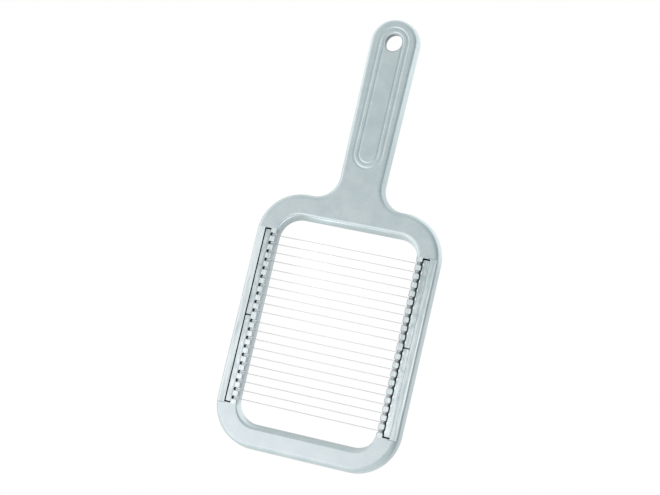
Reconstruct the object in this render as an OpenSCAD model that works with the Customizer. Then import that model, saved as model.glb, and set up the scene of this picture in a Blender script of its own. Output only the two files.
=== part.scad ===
// Hand slicer for soft cheese: a flat cast frame with a handle, strung with parallel wires.
// The wires come in two sets. Each set is a pair of strips with the wires tied between them,
// and it drops into open pockets in the two side rails. The lip of each rail is notched for the wires.
// Lengths are in millimetres. The frame lies flat on its back, wires across X, handle along +Y.

/* [Wires] */
// Distance from one wire to the next, which is the thickness of a slice
wire_pitch = 5; // [4.6:0.1:7]
// Distance between the two wires on either side of the middle, one from each set
middle_gap = 6.15; // [5.5:0.05:8]
// Diameter of a wire
wire_d = 0.5; // [0.3:0.05:0.7]
// Number of wires in one set
wires_per_set = 10; // [4:1:10]
// Depth of the wires below the cast top face
wire_drop = 2.4; // [2:0.1:2.8]

/* [Frame head] */
// Clear width between the two rails, which is the longest cut
cut_w = 84.8; // [70:0.2:110]
// Thickness of the casting
thick = 8; // [7.6:0.1:12]
// Distance from the last wire to the foot of the end bar
end_space = 12.1; // [8:0.1:20]
// Width of an end bar at the back
bar_w = 14.8; // [12:0.1:22]
// Outer corner radius at the back
corner_r = 26; // [20:0.5:30]
// Corner radius of the opening at the back
opening_r = 11; // [6:0.5:14]
// Distance that the outer walls lean in, from the back to the top face
wall_lean = 0.8; // [0.2:0.1:1.5]
// Distance that the inner walls of the end bars lean away from the opening
bar_lean = 2.4; // [0.5:0.1:3.5]
// Rounding of the top edges
edge_r = 1.2; // [0.4:0.1:1.8]

/* [Side rails] */
// Width of the notched lip along the opening
lip_w = 3.4; // [2.5:0.1:5]
// Width of the pocket that holds the strips
pocket_w = 3.95; // [3.4:0.05:6]
// Width of the rim outside the pocket, at the back
rim_w = 5.45; // [4:0.05:9]
// Thickness left under the pocket
pocket_floor = 3; // [2:0.1:3.4]
// Depth of the machined land on the rails below the cast face
land_drop = 0.2; // [0.1:0.05:0.5]
// Width of a wire's notch in the lip
notch_w = 1.5; // [1.2:0.1:2.2]
// Depth of a notch below the cast top face
notch_depth = 3; // [2.9:0.1:3.6]
// Length of the deep end of a notch, where it opens into the pocket
pit_l = 1.5; // [0.8:0.1:2]
// Rounding of the teeth between the notches, on the pocket side
tooth_r = 0.7; // [0.3:0.1:1]

/* [Strips] */
// Gap between a strip's foot and the pocket's walls
strip_clear = 0.1; // [0.05:0.01:0.2]
// Gap at the far end of each strip
strip_end_clear = 0.5; // [0.3:0.1:1]
// Gap between the two strips that share a pocket
strip_mid_clear = 0.25; // [0.15:0.05:0.6]
// Distance from the last wire to the end of its strip
strip_margin = 2.9; // [2:0.1:4]
// Depth of a strip's top below the cast top face
strip_drop = 1.45; // [1:0.05:1.6]
// Amount that a strip narrows on each side from its foot to its top
strip_taper = 0.28; // [0.1:0.02:0.4]
// Gap around a wire in its hole through the strip
wire_clear = 0.1; // [0.05:0.01:0.2]

/* [Wire ends] */
// Outer diameter of the ferrule crimped on each end of a wire
ferrule_d = 1.3; // [1.1:0.05:1.5]
// Length of a ferrule
ferrule_l = 0.9; // [0.7:0.05:1.2]
// Gap around a ferrule in its seat
seat_clear = 0.12; // [0.05:0.01:0.15]
// Gap between a ferrule's bore and its wire
crimp_clear = 0.01; // [0.01:0.005:0.03]

/* [Handle] */
// Distance from the head's edge to the centre of the hanging hole
handle_l = 95.8; // [80:0.2:140]
// Width of the handle at the hanging hole, at the back
handle_end_w = 28.4; // [26:0.2:36]
// Width of the handle where it meets the head, at the back
handle_neck_w = 26.2; // [24:0.2:34]
// Radius of the hollow corner between handle and head, at the back
neck_r = 13; // [8:0.5:13.5]
// Diameter of the hanging hole
hole_d = 10.5; // [8:0.1:10.5]
// Length of the grooved panel, from the hole's centre to the centre of its round end
panel_l = 66.8; // [40:0.2:72]
// Radius of the inner groove's middle line
inner_groove_r = 5.5; // [5.5:0.05:6]
// Radius of the outer groove's middle line
outer_groove_r = 8.4; // [8:0.05:9.2]
// Width of a groove
groove_w = 1.3; // [0.8:0.05:1.6]
// Depth of a groove
groove_depth = 0.45; // [0.2:0.05:0.5]

/* [Hidden] */
$fn = 96;
// Overshoot of a cutting shape past the face it cuts
over = 1;
// Angle at which the rounding of an edge breaks into the faces beside it
edge_break = 12;
// Depth by which a round blend starts inside the face that it runs into
blend_sink = 0.03;
// Overshoot of the hollow corners' cut, in degrees
neck_turn_over = 10;
wire_total = 2 * wires_per_set;
last_wire_y = middle_gap / 2 + (wires_per_set - 1) * wire_pitch;
wire_z = thick - wire_drop;
strip_end_y = last_wire_y + strip_margin;
pocket_end_y = strip_end_y + strip_end_clear;
opening_half = last_wire_y + end_space;
head_half = opening_half + bar_w;
lip_x = cut_w / 2;
pocket_in_x = lip_x + lip_w;
pocket_out_x = pocket_in_x + pocket_w;
head_x = pocket_out_x + rim_w;
strip_in_x = pocket_in_x + strip_clear;
strip_out_x = pocket_out_x - strip_clear;
strip_top_z = thick - strip_drop;
strip_h = strip_top_z - pocket_floor;
// A strip's outer face leans, so the ferrule's seat is measured from the face at the wire's height
strip_face_x = strip_out_x - strip_taper * (wire_z - pocket_floor) / strip_h;
seat_x = strip_face_x - ferrule_l;
hole_y = head_half + handle_l;
end_r = handle_end_w / 2;
side_r = end_r - blend_sink;
handle_taper = atan((end_r - handle_neck_w / 2) / handle_l);
neck_y = head_half + neck_r - blend_sink;
neck_x = (side_r + neck_r + (neck_y - hole_y) * sin(handle_taper)) / cos(handle_taper) - blend_sink;
// The middle of the wires lies this far from the middle of the whole length
field_y = -(hole_y + end_r - head_half) / 2;
groove_round = (groove_w * groove_w / 4 + groove_depth * groove_depth) / (2 * groove_depth);

function wire_name(i) = str("wire_", i < 10 ? "0" : "", i);
function wire_y(i) = (i - wires_per_set - 0.5) * wire_pitch
    + sign(i - wires_per_set - 0.5) * (middle_gap - wire_pitch) / 2;

cast_grey = [0.74, 0.77, 0.79];
strip_grey = [0.66, 0.69, 0.71];
steel_grey = [0.80, 0.81, 0.82];
ferrule_grey = [0.58, 0.59, 0.60];

// Section of a wall whose foot is at x = reach and whose top edge is rounded. It stands higher than
// the casting, because the top face is cut through all the walls at once.
module wall_section(reach, lean) {
    slant = sqrt(thick * thick + lean * lean);
    round_in = edge_r * cos(edge_break);
    round_z = thick - round_in;
    round_x = reach - (round_in * slant + round_z * lean) / thick;
    outward = [thick / slant, lean / slant];
    difference() {
        polygon([[0, 0], [reach, 0], [reach - lean, thick], [reach - lean, thick + over], [0, thick + over]]);
        difference() {
            polygon([
                [round_x, round_z],
                [round_x, round_z] + (edge_r + over) * outward,
                [reach + over, thick + 2 * over],
                [round_x, thick + 2 * over]]);
            translate([round_x, round_z]) circle(edge_r);
        }
    }
}

// The free space in front of such a wall, with the wall's foot at x = foot
module space_section(foot, lean) {
    depth = lean + 2 * edge_r + over;
    difference() {
        translate([0, -over]) square([foot + lean + 2 * edge_r, thick + 3 * over]);
        translate([foot + depth, 0]) mirror([1, 0]) wall_section(depth, lean);
    }
}

// Stand a section drawn in x and z upright and run it along y
module run_along_y(from, to)
    translate([0, to, 0]) rotate([90, 0, 0]) linear_extrude(to - from) children();

module both_sides() {
    children();
    mirror([1, 0, 0]) children();
}

module both_ends() {
    children();
    mirror([0, 1, 0]) children();
}

module head_block() {
    both_sides() both_ends()
        translate([head_x - corner_r, head_half - corner_r, 0])
            rotate_extrude() wall_section(corner_r, wall_lean);
    both_sides()
        run_along_y(corner_r - head_half, head_half - corner_r) wall_section(head_x, wall_lean);
    both_ends()
        rotate(90) run_along_y(corner_r - head_x, head_x - corner_r) wall_section(head_half, wall_lean);
}

module handle_block() {
    translate([0, hole_y, 0]) {
        rotate_extrude() wall_section(end_r, wall_lean);
        intersection_for(side = [0, 1])
            mirror([side, 0, 0]) rotate(-handle_taper) run_along_y(-handle_l, 0) {
                wall_section(side_r, wall_lean);
                translate([-handle_end_w, 0]) square([handle_end_w + over, thick + over]);
            }
    }
    // Hollow corners between the handle and the head, each cut a little past the quarter turn it needs
    both_sides() difference() {
        linear_extrude(thick + over) polygon([
            [0, head_half - 2 * edge_r],
            [neck_x, head_half - 2 * edge_r],
            [neck_x, neck_y - neck_r / 2],
            [neck_x - neck_r / 2, neck_y],
            [0, neck_y]]);
        translate([neck_x, neck_y, 0]) rotate(180 - neck_turn_over)
            rotate_extrude(angle = 90 + 2 * neck_turn_over) space_section(neck_r, wall_lean);
    }
}

// The strung opening: upright along the rails, leaning along the end bars
module opening() {
    straight_x = lip_x - opening_r;
    straight_y = opening_half - opening_r;
    intersection() {
        translate([-lip_x, -2 * head_half, -over]) cube([cut_w, 4 * head_half, thick + 2 * over]);
        union() {
            both_sides() both_ends() translate([straight_x, straight_y, 0])
                rotate_extrude() space_section(opening_r, bar_lean);
            both_ends() rotate(90)
                run_along_y(-straight_x, straight_x) space_section(opening_half, bar_lean);
            translate([-lip_x - over, -straight_y, -over])
                cube([cut_w + 2 * over, 2 * straight_y, thick + 2 * over]);
        }
    }
}

// Outline of one notch, with the teeth beside it rounded where they face the pocket
module notch_outline() {
    mouth = notch_w / 2 + tooth_r;
    translate([lip_x - over, -notch_w / 2]) square([lip_w + 2 * over, notch_w]);
    difference() {
        translate([pocket_in_x - tooth_r, -mouth]) square([tooth_r + over, 2 * mouth]);
        for (side = [-1, 1])
            translate([pocket_in_x - tooth_r, side * mouth]) circle(tooth_r);
    }
}

// Everything that is machined into the right-hand rail
module rail_cuts() {
    translate([lip_x - over, -pocket_end_y, thick - land_drop])
        cube([head_x - lip_x + 2 * over, 2 * pocket_end_y, land_drop + over]);
    translate([pocket_in_x, -pocket_end_y, pocket_floor])
        cube([pocket_w, 2 * pocket_end_y, thick]);
    translate([0, 0, thick - notch_depth]) linear_extrude(notch_depth + over)
        for (i = [1:wire_total]) translate([0, wire_y(i)]) notch_outline();
    translate([0, 0, pocket_floor]) linear_extrude(thick)
        for (i = [1:wire_total]) translate([pocket_in_x - pit_l, wire_y(i) - notch_w / 2])
            square([pit_l + over, notch_w]);
}

// A half-round groove in the shape of a racetrack, around the hole and down the handle
module panel_groove(r) {
    module groove_section() translate([r, 0]) circle(groove_round);
    translate([0, hole_y, thick - groove_depth + groove_round]) {
        rotate_extrude(angle = 180) groove_section();
        translate([0, -panel_l, 0]) rotate(180) rotate_extrude(angle = 180) groove_section();
        both_sides() run_along_y(-panel_l, 0) groove_section();
    }
}

module frame() {
    color(cast_grey) translate([0, field_y, 0]) difference() {
        union() {
            head_block();
            handle_block();
        }
        translate([-head_x, -head_half, thick]) cube([2 * head_x, head_half + hole_y + end_r, 2 * over]);
        opening();
        both_sides() rail_cuts();
        translate([0, hole_y, -over]) cylinder(d = hole_d, h = thick + 2 * over);
        panel_groove(inner_groove_r);
        panel_groove(outer_groove_r);
    }
}

// The set nearer the handle is the upper one, and side is -1 on the left and 1 on the right
module strip(set, side) {
    first = set == "upper" ? wires_per_set + 1 : 1;
    from_y = set == "upper" ? strip_mid_clear / 2 : -strip_end_y;
    length = strip_end_y - strip_mid_clear / 2;
    color(strip_grey) translate([0, field_y, 0]) mirror([side < 0 ? 1 : 0, 0, 0]) difference() {
        run_along_y(from_y, from_y + length) polygon([
            [strip_in_x, pocket_floor],
            [strip_out_x, pocket_floor],
            [strip_out_x - strip_taper, strip_top_z],
            [strip_in_x + strip_taper, strip_top_z]]);
        for (i = [first : first + wires_per_set - 1]) translate([0, wire_y(i), wire_z]) rotate([0, 90, 0]) {
            cylinder(d = wire_d + 2 * wire_clear, h = head_x);
            translate([0, 0, seat_x]) cylinder(d = ferrule_d + 2 * seat_clear, h = ferrule_l + over);
        }
    }
}

module ferrules(set, side) {
    first = set == "upper" ? wires_per_set + 1 : 1;
    color(ferrule_grey) translate([0, field_y, 0]) mirror([side < 0 ? 1 : 0, 0, 0])
        for (i = [first : first + wires_per_set - 1])
            translate([seat_x, wire_y(i), wire_z]) rotate([0, 90, 0]) difference() {
                cylinder(d = ferrule_d, h = ferrule_l);
                translate([0, 0, -over]) cylinder(d = wire_d + 2 * crimp_clear, h = ferrule_l + 2 * over);
            }
}

module wire(i) {
    half_l = seat_x + ferrule_l;
    color(steel_grey) translate([-half_l, field_y + wire_y(i), wire_z])
        rotate([0, 90, 0]) cylinder(d = wire_d, h = 2 * half_l);
}

frame();
strip("upper", -1);  // upper_left_strip
strip("upper", 1);  // upper_right_strip
strip("lower", -1);  // lower_left_strip
strip("lower", 1);  // lower_right_strip
ferrules("upper", -1);  // upper_left_ferrules
ferrules("upper", 1);  // upper_right_ferrules
ferrules("lower", -1);  // lower_left_ferrules
ferrules("lower", 1);  // lower_right_ferrules
for (i = [1:wire_total])
    wire(i);
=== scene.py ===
import math

import bmesh
import bpy
from mathutils import Matrix, Vector


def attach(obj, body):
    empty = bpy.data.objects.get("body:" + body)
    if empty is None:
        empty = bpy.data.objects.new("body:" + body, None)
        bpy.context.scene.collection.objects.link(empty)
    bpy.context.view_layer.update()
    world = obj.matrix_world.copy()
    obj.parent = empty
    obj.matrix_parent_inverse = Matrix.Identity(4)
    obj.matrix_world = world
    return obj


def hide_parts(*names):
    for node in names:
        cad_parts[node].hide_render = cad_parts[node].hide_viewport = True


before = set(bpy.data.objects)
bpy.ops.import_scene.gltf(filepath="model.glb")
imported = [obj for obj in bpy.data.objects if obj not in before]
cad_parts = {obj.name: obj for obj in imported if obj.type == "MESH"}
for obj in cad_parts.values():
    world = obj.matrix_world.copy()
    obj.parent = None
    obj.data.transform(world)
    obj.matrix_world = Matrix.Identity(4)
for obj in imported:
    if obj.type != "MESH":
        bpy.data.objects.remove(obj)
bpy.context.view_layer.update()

# Cast frame: the whole body of the slicer, one aluminium casting with a head, a neck and a flat handle.
# The mould leaves leaning walls and round edges, and the flat back lies on the table.
# Sizes are in millimetres from the middle of the wires, until a piece is put in its place.
thick = 8.0
head_x = 55.4
head_low = -74.6
head_high = 75.2
corner_r = 26.0
neck_half = 13.5
neck_r = 13.0
end_half = 14.8
end_y = 185.2
wall_lean = 0.1
edge_r = 3.0
back_r = 1.2
corner_steps = 20
neck_steps = 14
edge_steps = 6
small_edge_steps = 4
weld = 0.0001
corner_weld = 0.001


def plate(corners, height):
    """One level face from corner points, each given as x, y, rounding and number of steps."""
    shape = bmesh.new()
    ring = [shape.verts.new((x, y, height)) for x, y, rounding, steps in corners]
    shape.faces.new(ring)
    for vert, (x, y, rounding, steps) in zip(ring, corners):
        if rounding > 0:
            bmesh.ops.bevel(shape, geom=[vert], offset=rounding, offset_type="OFFSET", segments=steps,
                            profile=0.5, affect="VERTICES", material=-1, clamp_overlap=False)
    bmesh.ops.remove_doubles(shape, verts=shape.verts, dist=corner_weld)
    shape.normal_update()
    return shape


def draw_out(shape, height, up=(), down=()):
    """Pull a plate's two sides through profiles of inset and height, into a closed solid."""
    shape.faces.ensure_lookup_table()
    upper = shape.faces[0]
    twin = bmesh.ops.duplicate(shape, geom=[upper])["geom"]
    lower = next(item for item in twin if isinstance(item, bmesh.types.BMFace))
    bmesh.ops.reverse_faces(shape, faces=[lower])
    for face, way, profile in ((upper, 1, up), (lower, -1, down)):
        inset, level = 0.0, height
        for next_inset, next_level in profile:
            bmesh.ops.inset_region(shape, faces=[face], thickness=next_inset - inset,
                                   depth=way * (next_level - level),
                                   use_even_offset=True, use_boundary=True)
            inset, level = next_inset, next_level
    bmesh.ops.remove_doubles(shape, verts=shape.verts, dist=weld)
    bmesh.ops.recalc_face_normals(shape, faces=shape.faces)
    return shape


def rolled_edge(lean, radius, top, steps=edge_steps):
    """Points where a wall that leans by this much per millimetre rolls over and ends level at the top."""
    slope = math.atan(lean)
    touch = top - radius + radius * math.sin(slope)
    middle = lean * touch + radius * math.cos(slope)
    angles = [slope + (math.pi / 2 - slope) * step / steps for step in range(steps + 1)]
    return [(middle - radius * math.cos(a), top - radius + radius * math.sin(a)) for a in angles]


def flare(radius, level, way, steps=small_edge_steps):
    """Points where a cutter widens, so that the edge it leaves at this level is round."""
    return [(-inset, level + way * rise) for inset, rise in rolled_edge(0.0, radius, 0.0, steps)]


blank = draw_out(
    plate([
        (-head_x, head_low, corner_r, corner_steps), (head_x, head_low, corner_r, corner_steps),
        (head_x, head_high, corner_r, corner_steps), (neck_half, head_high, neck_r, neck_steps),
        (end_half, end_y, end_half, corner_steps), (-end_half, end_y, end_half, corner_steps),
        (-neck_half, head_high, neck_r, neck_steps), (-head_x, head_high, corner_r, corner_steps)], back_r),
    back_r,
    up=rolled_edge(wall_lean, edge_r, thick),
    down=[(-inset, level) for inset, level in flare(back_r, 0.0, -1)])

# Opening of the frame: the window that the wires cross, cast through the head with the rest of the body.
# Its walls stand upright along the rails. Along the end bars they lean and have a wide round upper edge,
# which runs on round the corners to the right-hand rail and stops at the milled land.
lip_x = 42.2
opening_half = 60.175
opening_r = 13.0
bar_lean = 0.25
bar_edge_r = 2.0
tooth_edge_r = 0.4
foot_r = 0.4
land_half = 51.8
top_ease_r = 2.2
low_ease_r = 1.2
opening_steps = 14
bar_edge_steps = 8
over = 1.0
crossing = 0.02


def rectangle(x0, y0, x1, y1, rounding=0.0, steps=1):
    """The four corner points of a rectangular plate."""
    return [(x, y, rounding, steps) for x, y in ((x0, y0), (x1, y0), (x1, y1), (x0, y1))]


def drawn_back(height, lean, radius, top):
    """How far a leaning wall that rolls over at the top has drawn back at this height."""
    slope = math.atan(lean)
    touch = top - radius + radius * math.sin(slope)
    middle = lean * touch + radius * math.cos(slope)
    if height < touch:
        return lean * height
    return middle - math.sqrt(radius ** 2 - (height - top + radius) ** 2)


def lofted(corners, levels):
    """Raise an outline through levels of height, half width and half length, into a closed solid."""
    height, half_x, half_y = levels[0]
    shape = plate(corners, height)
    shape.faces.ensure_lookup_table()
    upper = shape.faces[0]
    twin = bmesh.ops.duplicate(shape, geom=[upper])["geom"]
    bmesh.ops.reverse_faces(shape, faces=[item for item in twin if isinstance(item, bmesh.types.BMFace)])
    for next_height, next_x, next_y in levels[1:]:
        bmesh.ops.inset_region(shape, faces=[upper], thickness=0.0, depth=next_height - height,
                               use_boundary=True)
        bmesh.ops.scale(shape, vec=(next_x / half_x, next_y / half_y, 1), verts=upper.verts)
        height, half_x, half_y = next_height, next_x, next_y
    bmesh.ops.remove_doubles(shape, verts=shape.verts, dist=weld)
    bmesh.ops.recalc_face_normals(shape, faces=shape.faces)
    return shape


def window(levels):
    """Raise the opening's rounded outline through these levels, and out of the top of the casting."""
    half_x, half_y = levels[0][1:]
    outline = rectangle(-half_x, -half_y, half_x, half_y, opening_r, opening_steps)
    return lofted(outline, levels + [(thick + over, *levels[-1][1:])])


def eased_end(end, radius):
    """A cutter that rolls the inner edge of the right-hand rail between the land and an end bar."""
    heights = [level for inset, level in rolled_edge(0.0, radius, thick, bar_edge_steps)]
    shape = window([(level, lip_x + drawn_back(level, 0.0, radius, thick) - crossing,
                     opening_half + drawn_back(level, bar_lean, bar_edge_r, thick) - crossing)
                    for level in heights])
    for place, way in (((0, end * land_half, 0), (0, end, 0)), ((0, 0, 0), (1, 0, 0))):
        bmesh.ops.bisect_plane(shape, geom=shape.verts[:] + shape.edges[:] + shape.faces[:],
                               plane_co=place, plane_no=way, clear_inner=True)
        bmesh.ops.edgeloop_fill(shape, edges=[edge for edge in shape.edges if edge.is_boundary])
    bmesh.ops.recalc_face_normals(shape, faces=shape.faces)
    return shape


foot_levels = [(level, lip_x - inset, opening_half - inset)
               for inset, level in reversed(flare(foot_r, 0.0, -1))]
bar_heights = [level for inset, level in rolled_edge(bar_lean, bar_edge_r, thick, bar_edge_steps)]
tooth_heights = [level for inset, level in rolled_edge(0.0, tooth_edge_r, thick, small_edge_steps)]
wall_levels = [(level, lip_x + drawn_back(level, 0.0, tooth_edge_r, thick),
                opening_half + drawn_back(level, bar_lean, bar_edge_r, thick))
               for level in sorted(set(bar_heights + tooth_heights))]
opening = window([(-over, lip_x + foot_r, opening_half + foot_r)] + foot_levels + wall_levels)
eased_ends = [eased_end(1, top_ease_r), eased_end(-1, low_ease_r)]

# Rails of the frame: the two long sides of the head, milled so that the wire sets drop in from above.
# Each has a lowered land along its outer rim, a pocket for the strips, and a lip as high as the cast face.
# A notch for each wire cuts the lip into teeth.
pocket_in_x = 45.8
pocket_out_x = 49.93
pocket_half = 51.475
pocket_z = 3.0
pocket_corner_r = 0.3
pocket_edge_r = 0.15
middle_z = 4.0
land_z = 7.2
land_run = 0.4
notch_w = 1.8
notch_z = 5.2
tooth_r = 0.7
tooth_steps = 5
mouth_spare = 0.2
wire_pitch = 5.0
middle_gap = 6.15
wires_per_set = 10
wire_places = [side * (middle_gap / 2 + step * wire_pitch)
               for side in (-1, 1) for step in range(wires_per_set)]


def mirrored(shape):
    """Add the mirror image on the other rail."""
    bmesh.ops.mirror(shape, geom=shape.verts[:] + shape.edges[:] + shape.faces[:], axis="X", merge_dist=0)
    bmesh.ops.recalc_face_normals(shape, faces=shape.faces)
    return shape


def repeated(shape, places):
    """Copy a shape to each of these places along the rail, and leave out the first one."""
    first = shape.verts[:] + shape.edges[:] + shape.faces[:]
    for place in places:
        copy = bmesh.ops.duplicate(shape, geom=first)["geom"]
        bmesh.ops.translate(shape, vec=(0, place, 0),
                            verts=[item for item in copy if isinstance(item, bmesh.types.BMVert)])
    bmesh.ops.delete(shape, geom=[item for item in first if isinstance(item, bmesh.types.BMVert)],
                     context="VERTS")
    return shape


land_in_x = pocket_out_x - 2 * pocket_corner_r
land = mirrored(draw_out(
    plate(rectangle(land_in_x, -land_half, head_x + over, land_half), land_z), land_z,
    up=[(-land_run, land_z + over)]))
pocket = mirrored(draw_out(
    plate(rectangle(pocket_in_x, -pocket_half, pocket_out_x, pocket_half, pocket_corner_r, small_edge_steps),
          middle_z), middle_z,
    up=flare(pocket_edge_r, thick + crossing, 1) + [(-pocket_edge_r - over, thick + crossing + over)],
    down=[(0.0, pocket_z)]))
mouth_x = pocket_in_x + crossing
mouth_half = notch_w / 2 + tooth_r + mouth_spare
notch = draw_out(
    plate([
        (lip_x - over, -notch_w / 2, 0, 1), (mouth_x, -notch_w / 2, tooth_r, tooth_steps),
        (mouth_x, -mouth_half, 0, 1), (mouth_x + over, -mouth_half, 0, 1),
        (mouth_x + over, mouth_half, 0, 1), (mouth_x, mouth_half, 0, 1),
        (mouth_x, notch_w / 2, tooth_r, tooth_steps), (lip_x - over, notch_w / 2, 0, 1)], notch_z + over),
    notch_z + over,
    up=flare(tooth_edge_r, thick + crossing, 1) + [(-tooth_edge_r - crossing, thick + over)],
    down=[(0.0, notch_z)])
notches = mirrored(repeated(notch, wire_places))

# Handle of the frame: a flat bar with a round end, cast in one with the head, with a hole to hang it by.
# The hole opens out towards the back, as it left the mould. Two soft grooves run around a long bare panel,
# a little to the right of the handle's middle.
hole_y = 170.775
hole_r = 5.25
hole_edge_r = 0.25
hole_back_r = 1.5
hole_lean = 0.1
hole_steps = 72
hole_back_steps = 5
panel_l = 66.8
groove_depth = 0.45
groove_aside = 0.4
inner_groove_r = 5.5
inner_groove_w = 2.0
outer_groove_r = 8.4
outer_groove_w = 2.3
groove_steps = 10
groove_end_steps = 24
cut_weld = 0.0005
hole = bmesh.new()
bmesh.ops.create_circle(hole, cap_ends=True, segments=hole_steps, radius=hole_r,
                        matrix=Matrix.Translation((0, hole_y, middle_z)))
hole.normal_update()
hole = draw_out(
    hole, middle_z,
    up=flare(hole_edge_r, thick - groove_depth / 2, 1) + [(-hole_edge_r - over, thick + over)],
    down=[(-inset, middle_z - depth) for inset, depth in
          rolled_edge(hole_lean, hole_back_r, middle_z + crossing, hole_back_steps)])


def groove(radius, width):
    """A soft groove along a racetrack, around the hole and down the handle."""
    shape = bmesh.new()
    shares = [2 * step / groove_steps - 1 for step in range(groove_steps + 1)]
    line = [(radius + share * width / 2,
             thick + crossing - groove_depth * (1 + math.cos(math.pi * share)) / 2) for share in shares]
    line += [(radius + width / 2, thick + over), (radius - width / 2, thick + over)]
    ring = [shape.verts.new((x, hole_y, z)) for x, z in line]
    section = ring + [shape.edges.new(pair) for pair in zip(ring, ring[1:] + ring[:1])]
    for centre_y, run in ((hole_y, -panel_l), (hole_y - panel_l, panel_l)):
        section = bmesh.ops.spin(shape, geom=section, cent=(0, centre_y, 0), axis=(0, 0, 1), angle=math.pi,
                                 steps=groove_end_steps, use_duplicate=False)["geom_last"]
        edges = [item for item in section if isinstance(item, bmesh.types.BMEdge)]
        section = [item for item in bmesh.ops.extrude_edge_only(shape, edges=edges)["geom"]
                   if not isinstance(item, bmesh.types.BMFace)]
        bmesh.ops.translate(shape, vec=(0, run, 0),
                            verts=[item for item in section if isinstance(item, bmesh.types.BMVert)])
    bmesh.ops.remove_doubles(shape, verts=shape.verts, dist=corner_weld)
    bmesh.ops.translate(shape, vec=(groove_aside, 0, 0), verts=shape.verts)
    bmesh.ops.recalc_face_normals(shape, faces=shape.faces)
    return shape


def link(shape, name):
    mesh = bpy.data.meshes.new(name)
    shape.to_mesh(mesh)
    shape.free()
    made = bpy.data.objects.new(name, mesh)
    bpy.context.scene.collection.objects.link(made)
    return made


def carve(shape, cutters):
    """Take the cutters out of a shape one after the other."""
    body = link(shape, "carved_body")
    tools = [link(cutter, "cutter") for cutter in cutters]
    for tool in tools:
        cut = body.modifiers.new("cut", "BOOLEAN")
        cut.operation = "DIFFERENCE"
        cut.solver = "EXACT"
        cut.object = tool
    carved = bmesh.new()
    carved.from_object(body, bpy.context.evaluated_depsgraph_get())
    for used in [body] + tools:
        bpy.data.meshes.remove(used.data)
    bmesh.ops.remove_doubles(carved, verts=carved.verts, dist=cut_weld)
    bmesh.ops.dissolve_degenerate(carved, edges=carved.edges, dist=cut_weld)
    return carved


casting = carve(blank, [opening] + eased_ends + [land, pocket, notches,
                                                 groove(inner_groove_r, inner_groove_w),
                                                 groove(outer_groove_r, outer_groove_w), hole])

# Finish of the frame: a satin cast skin, with fine lengthwise streaks where the rails are milled.
# A painted highlight runs along the land's outer edge, and painted light turns the left rim lighter and the
# right rim darker towards the top. Painted shade darkens the notches, the lip's inner wall, the pockets and
# the wires' ends, further along the notches on the right, and the inside of the hanging hole.
field_y = -55.0
metre = 0.001
sharp_from = math.radians(36)


def placed(shape, name, body_name, slot_name, finish, *nodes):
    """Make a shape in millimetres a piece in its place, which stands for CAD nodes and rides on a body."""
    bmesh.ops.translate(shape, vec=(0, field_y, 0), verts=shape.verts)
    bmesh.ops.scale(shape, vec=(metre, metre, metre), verts=shape.verts)
    for face in shape.faces:
        face.smooth = True
    piece = link(shape, name)
    piece.data.set_sharp_from_angle(angle=sharp_from)
    piece.data.materials.append(finish)
    even = piece.modifiers.new("even_shading", "WEIGHTED_NORMAL")
    even.keep_sharp = True
    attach(piece, body_name)
    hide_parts(*nodes)


class Shade:
    """A shader socket. Arithmetic on it adds Math nodes, and node() adds any other kind of node."""

    def __init__(self, tree, socket=None):
        self.tree = tree
        self.socket = socket

    def node(self, kind, settings=None, sockets=None, output=0):
        made = self.tree.nodes.new("ShaderNode" + kind)
        for name, value in (settings or {}).items():
            setattr(made, name, value)
        for name, value in (sockets or {}).items():
            if isinstance(value, Shade):
                self.tree.links.new(value.socket, made.inputs[name])
            else:
                made.inputs[name].default_value = value
        return Shade(self.tree, made.outputs[output] if made.outputs else None)

    def output(self, name):
        return Shade(self.tree, self.socket.node.outputs[name])

    def math(self, operation, *values):
        return self.node("Math", {"operation": operation}, dict(enumerate(values)))

    def __add__(self, other):
        return self.math("ADD", self, other)

    __radd__ = __add__

    def __sub__(self, other):
        return self.math("SUBTRACT", self, other)

    def __rsub__(self, other):
        return self.math("SUBTRACT", other, self)

    def __mul__(self, other):
        return self.math("MULTIPLY", self, other)

    __rmul__ = __mul__

    def __neg__(self):
        return self.math("MULTIPLY", self, -1)

    def __abs__(self):
        return self.math("ABSOLUTE", self)

    def root(self):
        return self.math("SQRT", self)

    def rise(self, low, high):
        """A soft step from 0 at low to 1 at high."""
        return self.node("MapRange", {"interpolation_type": "SMOOTHSTEP"},
                         {"Value": self, "From Min": low, "From Max": high})

    def fall(self, low, high):
        """A soft step from 1 at low to 0 at high."""
        return 1 - self.rise(low, high)

    def between(self, first, second):
        """The first value where this is 0, the second where it is 1."""
        return first + self * (second - first)

    def blend(self, first, second):
        """The first colour where this is 0, the second where it is 1."""
        return self.node("Mix", {"data_type": "RGBA"}, {"Factor": self, 6: first, 7: second}, 2)


def new_finish(name):
    material = bpy.data.materials.new(name)
    material.use_nodes = True
    material.node_tree.nodes.clear()
    return material, Shade(material.node_tree)


def millimetres(shade):
    """Where a point lies across, along and above the table, in millimetres from the middle of the wires."""
    point = shade.node("TexCoord", output="Object")
    scaled = shade.node("Mapping", {}, {"Vector": point, "Location": (0, -field_y, 0),
                                        "Scale": (1 / metre, 1 / metre, 1 / metre)})
    split = shade.node("SeparateXYZ", {}, {"Vector": scaled})
    return [split.output(axis) for axis in "XYZ"]


def stretched_noise(shade, grains, detail, roughness=0.5):
    """Noise with this many grains per metre along each axis of the piece."""
    point = shade.node("TexCoord", output="Object")
    spread = shade.node("Mapping", {}, {"Vector": point, "Scale": grains})
    return shade.node("TexNoise", {}, {"Vector": spread, "Scale": 1.0, "Detail": detail,
                                       "Roughness": roughness})


def metal(shade, colour, roughness, relief, strength, depth):
    """A metal surface with this colour and roughness, and with bumps of this depth in metres."""
    bumped = shade.node("Bump", {}, {"Height": relief, "Strength": strength, "Distance": depth})
    surface = shade.node("BsdfPrincipled", {}, {"Base Color": colour, "Metallic": 1.0,
                                                "Roughness": roughness, "Normal": bumped})
    shade.node("OutputMaterial", {}, {"Surface": surface})


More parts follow.
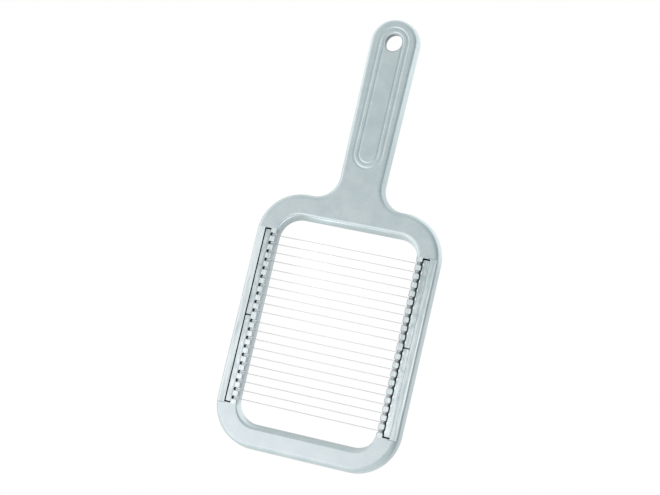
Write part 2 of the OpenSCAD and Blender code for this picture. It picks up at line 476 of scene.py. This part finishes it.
cast_finish, shade = new_finish("satin_cast_aluminium")
x, y, z = millimetres(shade)
across = abs(x)
along = abs(y)
middle_blend = (-1.0, 1.0)
right_hand = x.rise(*middle_blend)

# Where each part of the finish lies, by soft steps that are given as the two places where they start and end
land_blend = 0.2
milled_from = (4.5, 5.0)
rim_to = (53.7, 54.7)
on_land = (across.rise(lip_x, lip_x + land_blend) * across.fall(*rim_to)
           * along.fall(land_half - land_blend, land_half) * z.rise(*milled_from))
teeth_to = (45.8, 46.2)
on_teeth = across.fall(*teeth_to)
# Painted shade on the lip's inner wall, below its top edge
lip_edge = (lip_x + 0.35, lip_x + 0.6)
lip_from = (3.0, 6.2)
lip_end = (50.5, 52.5)
under_lip = across.fall(*lip_edge) * z.rise(*lip_from) * along.fall(*lip_end)
# Painted shade in the notches, weaker on the right
notch_top = (7.0, 7.7)
right_notch_share = 0.3
in_notch = on_teeth * on_land * z.fall(*notch_top) * right_hand.between(1.0, right_notch_share)
# Painted shade in the pockets and at the ends of the notches, reaching further along the notches on the
# right; darkest high on the walls and at the pocket ends, where the gaps beside the strips show
left_shade_from = (45.1, 45.5)
right_shade_from = (43.4, 45.3)
pocket_shade_out = (50.0, 50.1)
pocket_shade_end = (51.5, 51.8)
pocket_shade_top = (6.6, 7.1)
shaded_span = right_hand.between(across.rise(*left_shade_from), across.rise(*right_shade_from))
in_pocket = shaded_span * across.fall(*pocket_shade_out) * along.fall(*pocket_shade_end) * z.fall(*pocket_shade_top)
seam_from = (4.6, 5.4)
seam_end = (50.5, 50.8)
in_seam = z.rise(*seam_from) + along.rise(*seam_end)
# Painted shade inside the hanging hole
from_hole = y - hole_y
bore = (across * across + from_hole * from_hole).root()
bore_to = (7.4, 7.8)
bore_top = (6.2, 7.2)
in_hole = bore.fall(*bore_to) * z.fall(*bore_top)

# Colours: cloudy cast skin, streaked land and teeth, painted highlight and light on the rails, painted shade
# in the gaps
pale = (0.548, 0.63, 0.645, 1)
dull = (0.487, 0.572, 0.590, 1)
milled_dark = (0.47, 0.555, 0.567, 1)
milled_pale = (0.69, 0.765, 0.778, 1)
# A painted highlight for the land's edge, and painted shade for the lip's wall, the notches, the pockets,
# their gaps and the hanging hole
edge_highlight = (0.82, 0.89, 0.90, 1)
lip_wall_shade = (0.36, 0.425, 0.445, 1)
notch_shade = (0.54, 0.61, 0.63, 1)
gap_shade = (0.05, 0.06, 0.062, 1)
pocket_shade = (0.20, 0.23, 0.24, 1)
bore_shade = (0.085, 0.11, 0.115, 1)
cloud = stretched_noise(shade, grains=(110, 110, 110), detail=3)
skin = stretched_noise(shade, grains=(700, 700, 700), detail=4, roughness=0.6)
streak = stretched_noise(shade, grains=(1300, 90, 1300), detail=4, roughness=0.65)
cloud_share = 0.6
cloud_range = (0.32, 0.68)
cast_colour = (cloud_share * cloud + (1 - cloud_share) * skin).rise(*cloud_range).blend(dull, pale)
# Painted light: the left rim turns lighter and the right rim darker towards the top of the rail
rim_from = (49.5, 49.9)
up_from = (0.0, 50.0)
left_rim_painted_light = 0.17
right_rim_painted_light = -0.09
up_the_rim = across.rise(*rim_from) * y.rise(*up_from)
scuff_from = (51.3, 51.7)
scuff_to = (52.7, 53.2)
scuffed = x.rise(*scuff_from) * x.fall(*scuff_to)
scuff_loss = 0.12
land_shine = 0.02
teeth_shine = 0.05
# The land's tone sums the milled streaks, a lighter tone on the teeth, the painted light up the rims and a
# scuffed line
streak_range = (0.34, 0.68)
grain_and_sheen = (streak + land_shine + up_the_rim * right_hand.between(left_rim_painted_light, right_rim_painted_light)
         + teeth_shine * on_teeth - scuff_loss * scuffed)
# Painted highlight along the land's outer edge, stronger on the left and along the middle of the right rail
land_edge_from = (53.0, 53.3)
land_edge_to = (53.6, 53.9)
land_edge = across.rise(*land_edge_from) * across.fall(*land_edge_to)
low_from = (-45.0, -25.0)
low_to = (10.0, 22.0)
low_right = right_hand * y.rise(*low_from) * y.fall(*low_to)
left_highlight = 0.4
right_highlight = 0.25
low_right_highlight = 0.6
painted_highlight = land_edge * (right_hand.between(left_highlight, right_highlight) + low_right_highlight * low_right)
land_colour = painted_highlight.blend(grain_and_sheen.rise(*streak_range).blend(milled_dark, milled_pale), edge_highlight)
colour = in_hole.blend(on_land.blend(cast_colour, land_colour), bore_shade)
colour = in_notch.blend(colour, notch_shade)
colour = under_lip.blend(colour, lip_wall_shade)
colour = in_pocket.blend(colour, in_seam.blend(pocket_shade, gap_shade))

# Roughness and bumps: even on the skin, streaked on the land, smoother on the teeth
skin_rough = (0.28, 0.38)
cloud_rough = 0.08
streak_rough = (0.31, 0.61)
left_teeth_gloss = 0.16
right_teeth_gloss = 0.08
pocket_rough = 0.2
cloud_relief = 0.8
streak_relief = 1.2
cast_rough = skin.between(*skin_rough) + cloud_rough * cloud
teeth_gloss = on_teeth * right_hand.between(left_teeth_gloss, right_teeth_gloss)
land_rough = streak.between(*streak_rough) - teeth_gloss
rough = on_land.between(cast_rough, land_rough) + pocket_rough * in_pocket
relief = on_land.between(skin + cloud_relief * cloud, streak_relief * streak)
metal(shade, colour, rough, relief, strength=0.3, depth=0.00006)

placed(casting, "cast_frame", "frame", "cast_aluminium", cast_finish, "frame")

# Strips: four narrow aluminium bars, two end to end in each pocket, which hold the ends of the wires.
# They are sawn from flat stock and filed along their length, drilled across for each wire, and countersunk
# where the wire comes in, wider on the left. They lie with a little play, towards the right of their pockets.
strip_w = 3.77
left_in_x = 45.83
right_in_x = 46.03
strip_from = 0.125
strip_to = 50.975
strip_top_z = 6.45
strip_taper = 0.08
strip_edge_r = 0.15
strip_end_r = 0.5
wire_z = 5.6
wire_hole_r = 0.35
left_sink_r = 1.1
left_sink_l = 1.7
right_sink_r = 0.85
right_sink_l = 0.9
seat_x = 48.545
seat_r = 0.58
turned_steps = 20


def turned(profile):
    """A solid of revolution about an axis along X at the height of the wires, from x and radius points."""
    shape = bmesh.new()
    line = [shape.verts.new((x, 0, wire_z + radius)) for x, radius in profile]
    edges = [shape.edges.new(pair) for pair in zip(line, line[1:])]
    bmesh.ops.spin(shape, geom=line + edges, cent=(0, 0, wire_z), axis=(1, 0, 0), angle=2 * math.pi,
                   steps=turned_steps, use_merge=True, use_duplicate=False)
    bmesh.ops.remove_doubles(shape, verts=shape.verts, dist=weld)
    bmesh.ops.recalc_face_normals(shape, faces=shape.faces)
    return shape


strip_half_w = strip_w / 2
strip_half_l = (strip_to - strip_from) / 2
strip_h = strip_top_z - pocket_z
taper_lean = strip_taper / strip_h
strip_rolls = [rolled_edge(taper_lean, radius, strip_h, small_edge_steps)
               for radius in (strip_end_r, strip_edge_r)]
strip_heights = [0.0] + sorted(level for roll in strip_rolls for inset, level in roll)[:-1]
strip_levels = [(pocket_z + level, strip_half_w - drawn_back(level, taper_lean, strip_edge_r, strip_h),
                 strip_half_l - drawn_back(level, taper_lean, strip_end_r, strip_h))
                for level in strip_heights]

strip_finish, shade = new_finish("filed_aluminium")
x, y, z = millimetres(shade)
across = abs(x)
right_hand = x.rise(*middle_blend)
streak = stretched_noise(shade, grains=(1000, 60, 1000), detail=5, roughness=0.65)
dents = stretched_noise(shade, grains=(420, 300, 420), detail=3, roughness=0.55)
streak_share = 0.6
wear = streak_share * streak + (1 - streak_share) * dents
filed_dark = (0.385, 0.465, 0.484, 1)
filed_pale = (0.65, 0.74, 0.758, 1)
lip_shade = (0.29, 0.345, 0.36, 1)
# Painted shade for the outer sides and the countersinks, and a painted highlight for the right countersinks'
# rims
side_shade = (0.25, 0.29, 0.30, 1)
sink_shade = (0.07, 0.082, 0.085, 1)
sink_highlight = (0.93, 0.98, 0.98, 1)
# Painted light: the right strip turns lighter along its lower half
low_half = (-12.0, 0.0)
low_right_painted_light = 0.036
wear_range = (0.36, 0.64)
grain_and_sheen = wear + low_right_painted_light * right_hand * y.fall(*low_half)
colour = grain_and_sheen.rise(*wear_range).blend(filed_dark, filed_pale)
lip_shade_to = (46.4, 47.3)
lip_shade_share = 0.75
near_lip = (1 - right_hand) * across.fall(*lip_shade_to)
colour = (lip_shade_share * near_lip).blend(colour, lip_shade)
# Painted shade on the strip's outer side, below its top edge
top_edge = (6.30, 6.43)
side_from = (49.5, 49.6)
below_top = z.fall(*top_edge)
colour = (across.rise(*side_from) * below_top).blend(colour, side_shade)
# Painted shade in the countersinks, where the wires go in
past_first = abs(y) - middle_gap / 2
off_wire = abs(past_first.math("WRAP", past_first, wire_pitch / 2, -wire_pitch / 2))
above_wire = z - wire_z
off_axis = (off_wire * off_wire + above_wire * above_wire).root()
sink_blend = 0.04
left_sink_shade_x = 46.9
right_sink_shade_x = 46.2
sink_shade_blend = 0.1
beyond_rim = off_axis - right_hand.between(left_sink_r, right_sink_r)
beyond_sink_shade = across - right_hand.between(left_sink_shade_x, right_sink_shade_x)
in_sink = beyond_rim.fall(-sink_blend, sink_blend) * beyond_sink_shade.fall(0.0, sink_shade_blend) * below_top
# Painted highlight on the right strip's inner edge beside each wire, over its countersink
bright_w = (0.4, 0.9)
bright_to = (46.4, 46.9)
painted_highlight = right_hand * off_wire.fall(*bright_w) * across.fall(*bright_to)
colour = painted_highlight.blend(in_sink.blend(colour, sink_shade), sink_highlight)
filed_rough = (0.12, 0.42)
metal(shade, colour, wear.between(*filed_rough), wear, strength=0.5, depth=0.00008)

upper_places = wire_places[wires_per_set:]
for set_name, end in (("upper", 1), ("lower", -1)):
    for side_name, side, in_x, sink_r, sink_l in (("left", -1, left_in_x, left_sink_r, left_sink_l),
                                                  ("right", 1, right_in_x, right_sink_r, right_sink_l)):
        bar = lofted(rectangle(-strip_half_w, -strip_half_l, strip_half_w, strip_half_l), strip_levels)
        bmesh.ops.translate(bar, vec=(in_x + strip_half_w, strip_from + strip_half_l, 0), verts=bar.verts)
        drill = repeated(turned([
            (in_x - over, 0.0), (in_x - over, sink_r + over * (sink_r - wire_hole_r) / sink_l),
            (in_x + sink_l, wire_hole_r), (seat_x, wire_hole_r), (seat_x, seat_r),
            (in_x + strip_w + over, seat_r), (in_x + strip_w + over, 0.0)]), upper_places)
        strip = carve(bar, [drill])
        bmesh.ops.scale(strip, vec=(side, end, 1), verts=strip.verts)
        bmesh.ops.recalc_face_normals(strip, faces=strip.faces)
        node = set_name + "_" + side_name + "_strip"
        placed(strip, "filed_" + node, set_name + "_wire_set", "strip_aluminium", strip_finish, node)

# Wires: twenty straight lengths of drawn stainless steel, ten to a set, pulled tight between two strips.
# Their shape is the solid's own. The drawn finish adds fine lengthwise lines, a painted reflection of the
# pale notches on the left, and painted shade where the wires go into the strips.
wire_dark = (0.55, 0.547, 0.547, 1)
wire_pale = (0.675, 0.672, 0.672, 1)
wire_finish, shade = new_finish("drawn_steel")
x = millimetres(shade)[0]
draw_lines = stretched_noise(shade, grains=(40, 9000, 9000), detail=3)
line_range = (0.3, 0.7)
left_notch_from = (42.2, 42.8)
right_shade_to = (45.8, 46.0)
colour = draw_lines.rise(*line_range).blend(wire_dark, wire_pale)
# Painted reflection of the pale notches on the wires in the left notches, and painted shade where the wires
# go in
colour = (-x).rise(*left_notch_from).blend(colour, milled_pale)
shaded_span = (-x).rise(*left_shade_from) + x.rise(*right_shade_from) * x.fall(*right_shade_to)
colour = shaded_span.blend(colour, sink_shade)
drawn_rough = (0.18, 0.38)
metal(shade, colour, draw_lines.between(*drawn_rough), draw_lines, strength=0.2, depth=0.00002)
for name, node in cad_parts.items():
    if name.startswith("wire_"):
        node.data.materials.clear()
        node.data.materials.append(wire_finish)

# Ferrules: short steel sleeves crimped on the ends of the wires, one in each seat on the strip's outer side.
# The crimp pinches the middle of the sleeve onto the wire and leaves both rims a little proud.
ferrule_out_x = 49.445
ferrule_r = 0.52
ferrule_bore_r = 0.26
pinch_r = 0.45
rim = 0.08
steel_dark = (0.34, 0.35, 0.36, 1)
steel_pale = (0.56, 0.57, 0.58, 1)
ferrule_finish, shade = new_finish("crimped_steel")
dents = stretched_noise(shade, grains=(1400, 1400, 1400), detail=4)
dent_range = (0.35, 0.65)
crimped_rough = (0.25, 0.55)
colour = dents.rise(*dent_range).blend(steel_dark, steel_pale)
metal(shade, colour, dents.between(*crimped_rough), dents, strength=0.3, depth=0.00004)
ferrule_middle = (seat_x + ferrule_out_x) / 2
sleeve_profile = [
    (seat_x, ferrule_bore_r), (seat_x, ferrule_r - rim), (seat_x + rim, ferrule_r),
    (ferrule_middle - 2 * rim, ferrule_r), (ferrule_middle - rim, pinch_r), (ferrule_middle + rim, pinch_r),
    (ferrule_middle + 2 * rim, ferrule_r), (ferrule_out_x - rim, ferrule_r), (ferrule_out_x, ferrule_r - rim),
    (ferrule_out_x, ferrule_bore_r), (seat_x, ferrule_bore_r)]
for set_name, end in (("upper", 1), ("lower", -1)):
    for side_name, side in (("left", -1), ("right", 1)):
        sleeves = repeated(turned(sleeve_profile), upper_places)
        bmesh.ops.scale(sleeves, vec=(side, end, 1), verts=sleeves.verts)
        bmesh.ops.recalc_face_normals(sleeves, faces=sleeves.faces)
        node = set_name + "_" + side_name + "_ferrules"
        placed(sleeves, "crimped_" + node, set_name + "_wire_set", "ferrule_steel", ferrule_finish, node)

# Table and backdrop: a plain white sheet, evenly lit so that it shows no shadow, and a white ring far around.
# The metal reflects neither. It reflects a second, shaded table top, which the camera doesn't see.
floor_half = 3.0
backdrop_h = 4.0
backdrop_steps = 48
table_z = -0.0001


def table_top(name, level):
    sheet = bmesh.new()
    bmesh.ops.create_grid(sheet, x_segments=1, y_segments=1, size=floor_half,
                          matrix=Matrix.Translation((0, 0, level)))
    top = link(sheet, name)
    finish, shade = new_finish(name)
    top.data.materials.append(finish)
    return top, shade


table, shade = table_top("white_table", table_z)
glow = shade.node("Emission", {}, {"Color": (1, 1, 1, 1), "Strength": 1.0})
shade.node("OutputMaterial", {}, {"Surface": glow})
table.visible_glossy = False

ring = bmesh.new()
bmesh.ops.create_circle(ring, segments=backdrop_steps, radius=floor_half,
                        matrix=Matrix.Translation((0, 0, table_z)))
raised = bmesh.ops.extrude_edge_only(ring, edges=ring.edges)["geom"]
bmesh.ops.translate(ring, vec=(0, 0, backdrop_h),
                    verts=[item for item in raised if isinstance(item, bmesh.types.BMVert)])
backdrop = link(ring, "white_backdrop")
backdrop.data.materials.append(table.data.materials[0])
backdrop.visible_glossy = False
backdrop.visible_shadow = False

# Shaded table top: a pale card, dim beyond the right-hand rail and bright behind the head. Inside the opening
# it is lit in the middle, near the top bar and in the lower left corner, and it is dimmer along the lower bar
# and in the upper left corner.
shaded_table, shade = table_top("shaded_table", 2 * table_z)
x, y = millimetres(shade)[:2]
open_x = (45.0, 52.0)
open_y = (62.0, 70.0)
within = abs(x).fall(*open_x) * abs(y).fall(*open_y)
lit_left = (-42.0, -25.0)
lit_right = (15.0, 42.0)
lit_low = (-50.0, 30.0)
lit_high = (42.0, 54.0)
lit = x.rise(*lit_left) * x.fall(*lit_right) * y.rise(*lit_low) * y.fall(*lit_high)
top_left = (-35.0, -20.0)
top_right = (-20.0, 0.0)
top_low = (15.0, 35.0)
top_high = (50.0, 57.0)
near_top = x.rise(*top_left) * x.fall(*top_right) * y.rise(*top_low) * y.fall(*top_high)
bar_to = (-60.0, -48.0)
near_bar = y.fall(*bar_to)
high_corner_x = (-36.0, -26.0)
high_corner_y = (36.0, 48.0)
high_corner = x.fall(*high_corner_x) * y.rise(*high_corner_y)
low_corner_x = (-35.0, -24.0)
low_corner_from = (-58.5, -55.0)
low_corner_to = (-53.0, -45.0)
low_corner = x.fall(*low_corner_x) * y.rise(*low_corner_from) * y.fall(*low_corner_to)
lit_gain = 1.05
top_gain = 1.25
low_corner_gain = 0.55
inside_loss = 0.13
bar_loss = 0.10
high_corner_loss = 0.17
inside = (lit_gain * lit + top_gain * near_top - inside_loss - bar_loss * near_bar
          - high_corner_loss * high_corner + low_corner_gain * low_corner)
behind_from = (75.0, 165.0)
behind_gain = 0.3
beside_x = (25.0, 40.0)
beside_y = (42.0, 60.0)
beside_gain = 0.35
behind = behind_gain * y.rise(*behind_from) + beside_gain * y.rise(*beside_y) * x.rise(*beside_x)
rail_slant = 0.04
rail_shadow = (57.5, 82.5)
corner_slant = 0.6
corner_shadow = (86.0, 106.0)
shadow_from = (-80.0, -62.0)
shadow_depth = 0.55
off_rail = (x - rail_slant * y).fall(*rail_shadow)
off_corner = (x - corner_slant * y).fall(*corner_shadow)
shadow = (1 - off_rail * off_corner) * y.rise(*shadow_from)
open_glow = 1.03
outside = (open_glow + behind) * (1 - shadow_depth * shadow)
glow = shade.node("Emission", {}, {"Strength": outside + within * inside})
shade.node("OutputMaterial", {}, {"Surface": glow})
shaded_table.visible_camera = False

# Tent and softbox: a white cloth tent around the slicer, bright on the left and in front, dim on the right,
# and one softbox above the lower left. The softbox itself stays out of the picture.
bright_side = Vector((-0.6, -0.35, 0.72))
roof_dim = (0.54, 0.61, 0.63, 1)
roof_bright = (0.87, 0.87, 0.87, 1)
roof_front = (1.08, 1.08, 1.08, 1)
skirt_white = (1.0, 1.0, 1.0, 1)
skirt_left = (1.8, 1.75, 1.75, 1)
skirt_right = (0.48, 0.53, 0.55, 1)
turn_share = 0.3
roof_range = (-0.25, 0.4)
front_range = (0.3, 0.7)
left_range = (0.3, 0.9)
right_range = (0.45, 0.95)
height_range = (0.05, 0.78)
tent = bpy.data.worlds.new("tent")
tent.use_nodes = True
tent.node_tree.nodes.clear()
shade = Shade(tent.node_tree)
outward = shade.node("TexCoord", output="Generated")
toward = shade.node("VectorMath", {"operation": "DOT_PRODUCT"}, {0: outward, 1: bright_side}, "Value")
split = shade.node("SeparateXYZ", {}, {"Vector": outward})
x, y, z = [split.output(axis) for axis in "XYZ"]
roof = toward.rise(*roof_range).blend(roof_dim, roof_bright)
roof = (-y).rise(*front_range).blend(roof, roof_front)
skirt = (-x - turn_share * y).rise(*left_range).blend(skirt_white, skirt_left)
skirt = (x + turn_share * y).rise(*right_range).blend(skirt, skirt_right)
tone = z.rise(*height_range).blend(skirt, roof)
sky = shade.node("Background", {}, {"Color": tone, "Strength": 1.0})
shade.node("OutputWorld", {}, {"Surface": sky})
bpy.context.scene.world = tent

softbox_low = Vector((-0.60, -0.60, 0.5))
softbox_high = Vector((-0.04, -0.02, 0.5))
softbox_size = softbox_high - softbox_low
softbox_glow = 0.75
softbox_light = bpy.data.lights.new("softbox", "AREA")
softbox_light.shape = "RECTANGLE"
softbox_light.size = softbox_size.x
softbox_light.size_y = softbox_size.y
softbox_light.color = (1.0, 0.86, 0.885)
softbox_light.energy = softbox_glow * math.pi * softbox_size.x * softbox_size.y
softbox = bpy.data.objects.new("softbox", softbox_light)
softbox.location = (softbox_low + softbox_high) / 2
softbox.visible_camera = False
bpy.context.scene.collection.objects.link(softbox)

# Camera: above the slicer and to its right, tilted a little towards the front and turned, with a long lens.
# It aims at the middle of the wires and stands a little aside from there, so that the handle is in view.
lean = math.radians(17.429)
tilt = math.radians(5.994)
turn = math.radians(13.178)
distance = 1.01793
aside = 0.002397
above = 0.047152
back = Vector((math.sin(lean) * math.cos(tilt), -math.sin(tilt), math.cos(lean) * math.cos(tilt)))
level_up = (Vector((0, 1, 0)) - back * back.y).normalized()
level_right = level_up.cross(back)
right = math.cos(turn) * level_right + math.sin(turn) * level_up
up = math.cos(turn) * level_up - math.sin(turn) * level_right
aim = Vector((0, field_y * metre, thick * metre))
camera_data = bpy.data.cameras.new("camera")
camera_data.sensor_width = 36.0
camera_data.lens = 98.18
camera_data.clip_start = 0.01
camera_data.clip_end = 20.0
camera = bpy.data.objects.new("camera", camera_data)
bpy.context.scene.collection.objects.link(camera)
facing = Matrix((right, up, back)).transposed().to_4x4()
camera.matrix_world = Matrix.Translation(aim + aside * right + above * up + distance * back) @ facing
bpy.context.scene.camera = camera
bpy.context.scene.view_settings.view_transform = "Standard"
